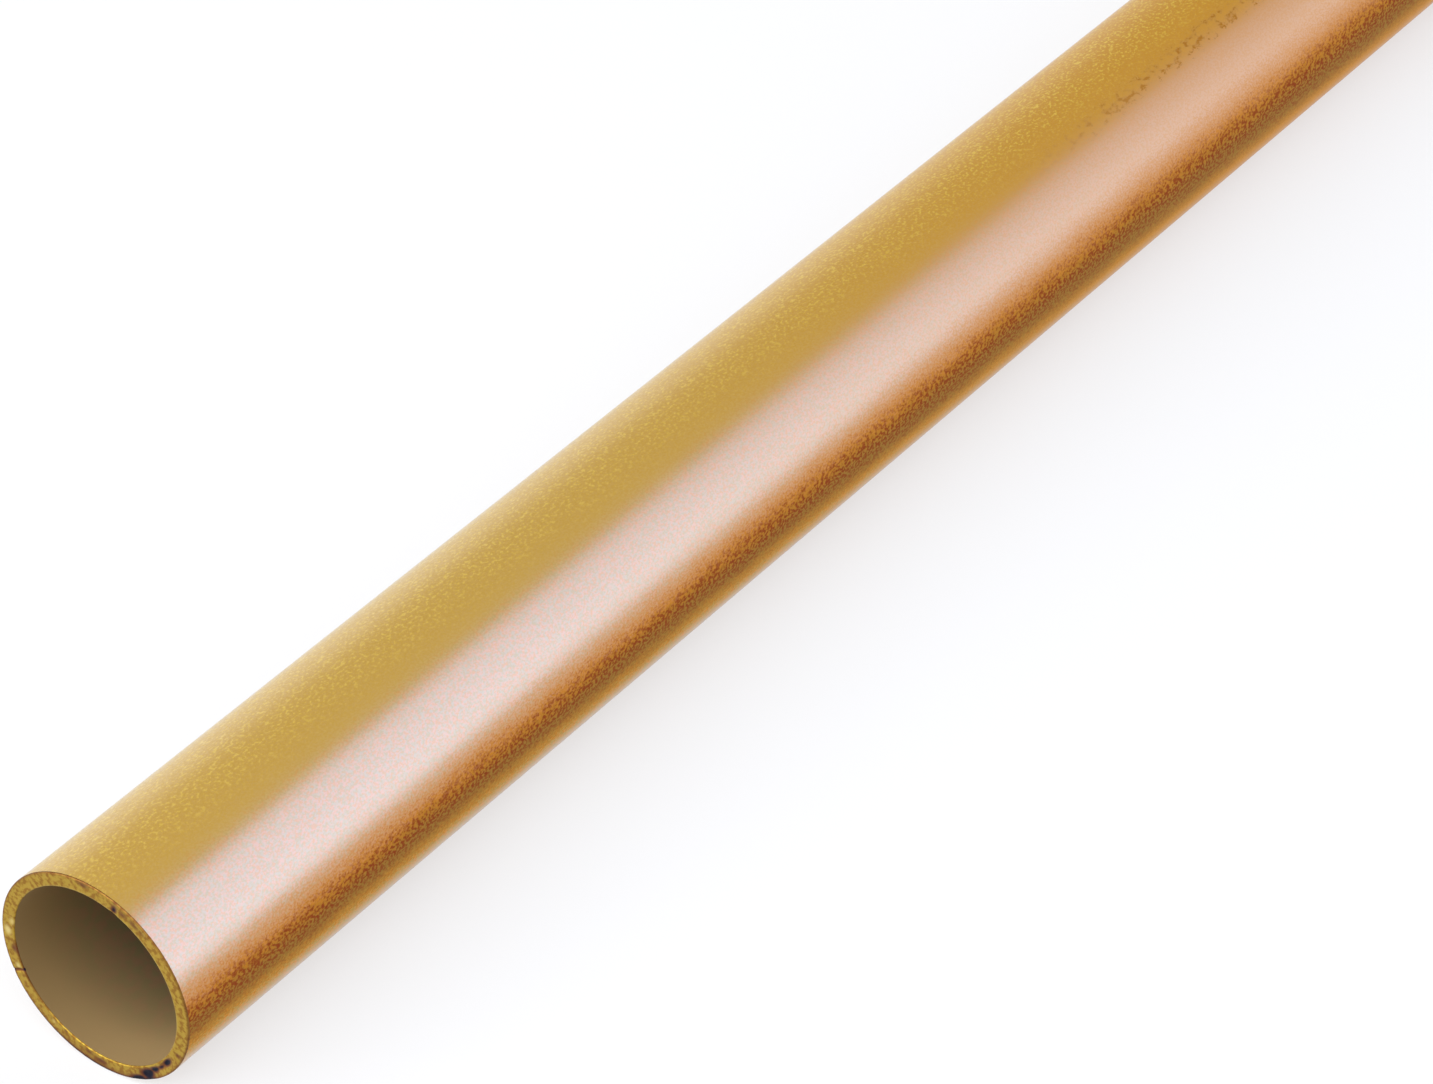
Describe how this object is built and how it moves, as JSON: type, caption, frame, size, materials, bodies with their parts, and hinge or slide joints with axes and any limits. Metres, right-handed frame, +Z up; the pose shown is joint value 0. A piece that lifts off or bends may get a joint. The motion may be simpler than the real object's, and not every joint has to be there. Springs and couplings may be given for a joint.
{
  "type": "round tube",
  "caption": "Straight round brass tube with a thin wall, sawn square at both ends with the edges lightly broken, lying on its side.",
  "frame": {"origin": "on the floor, under the middle of the tube", "axes": "+X along the tube, from the end at the front of the picture to the far end; +Z up from the floor it lies on"},
  "size_m": [0.3, 0.015, 0.015],
  "materials": {
    "brass": "drawn, satin, lightly tarnished, with sawn ends"
  },
  "bodies": {
    "root": {"tube": "brass"}
  },
  "joints": []
}
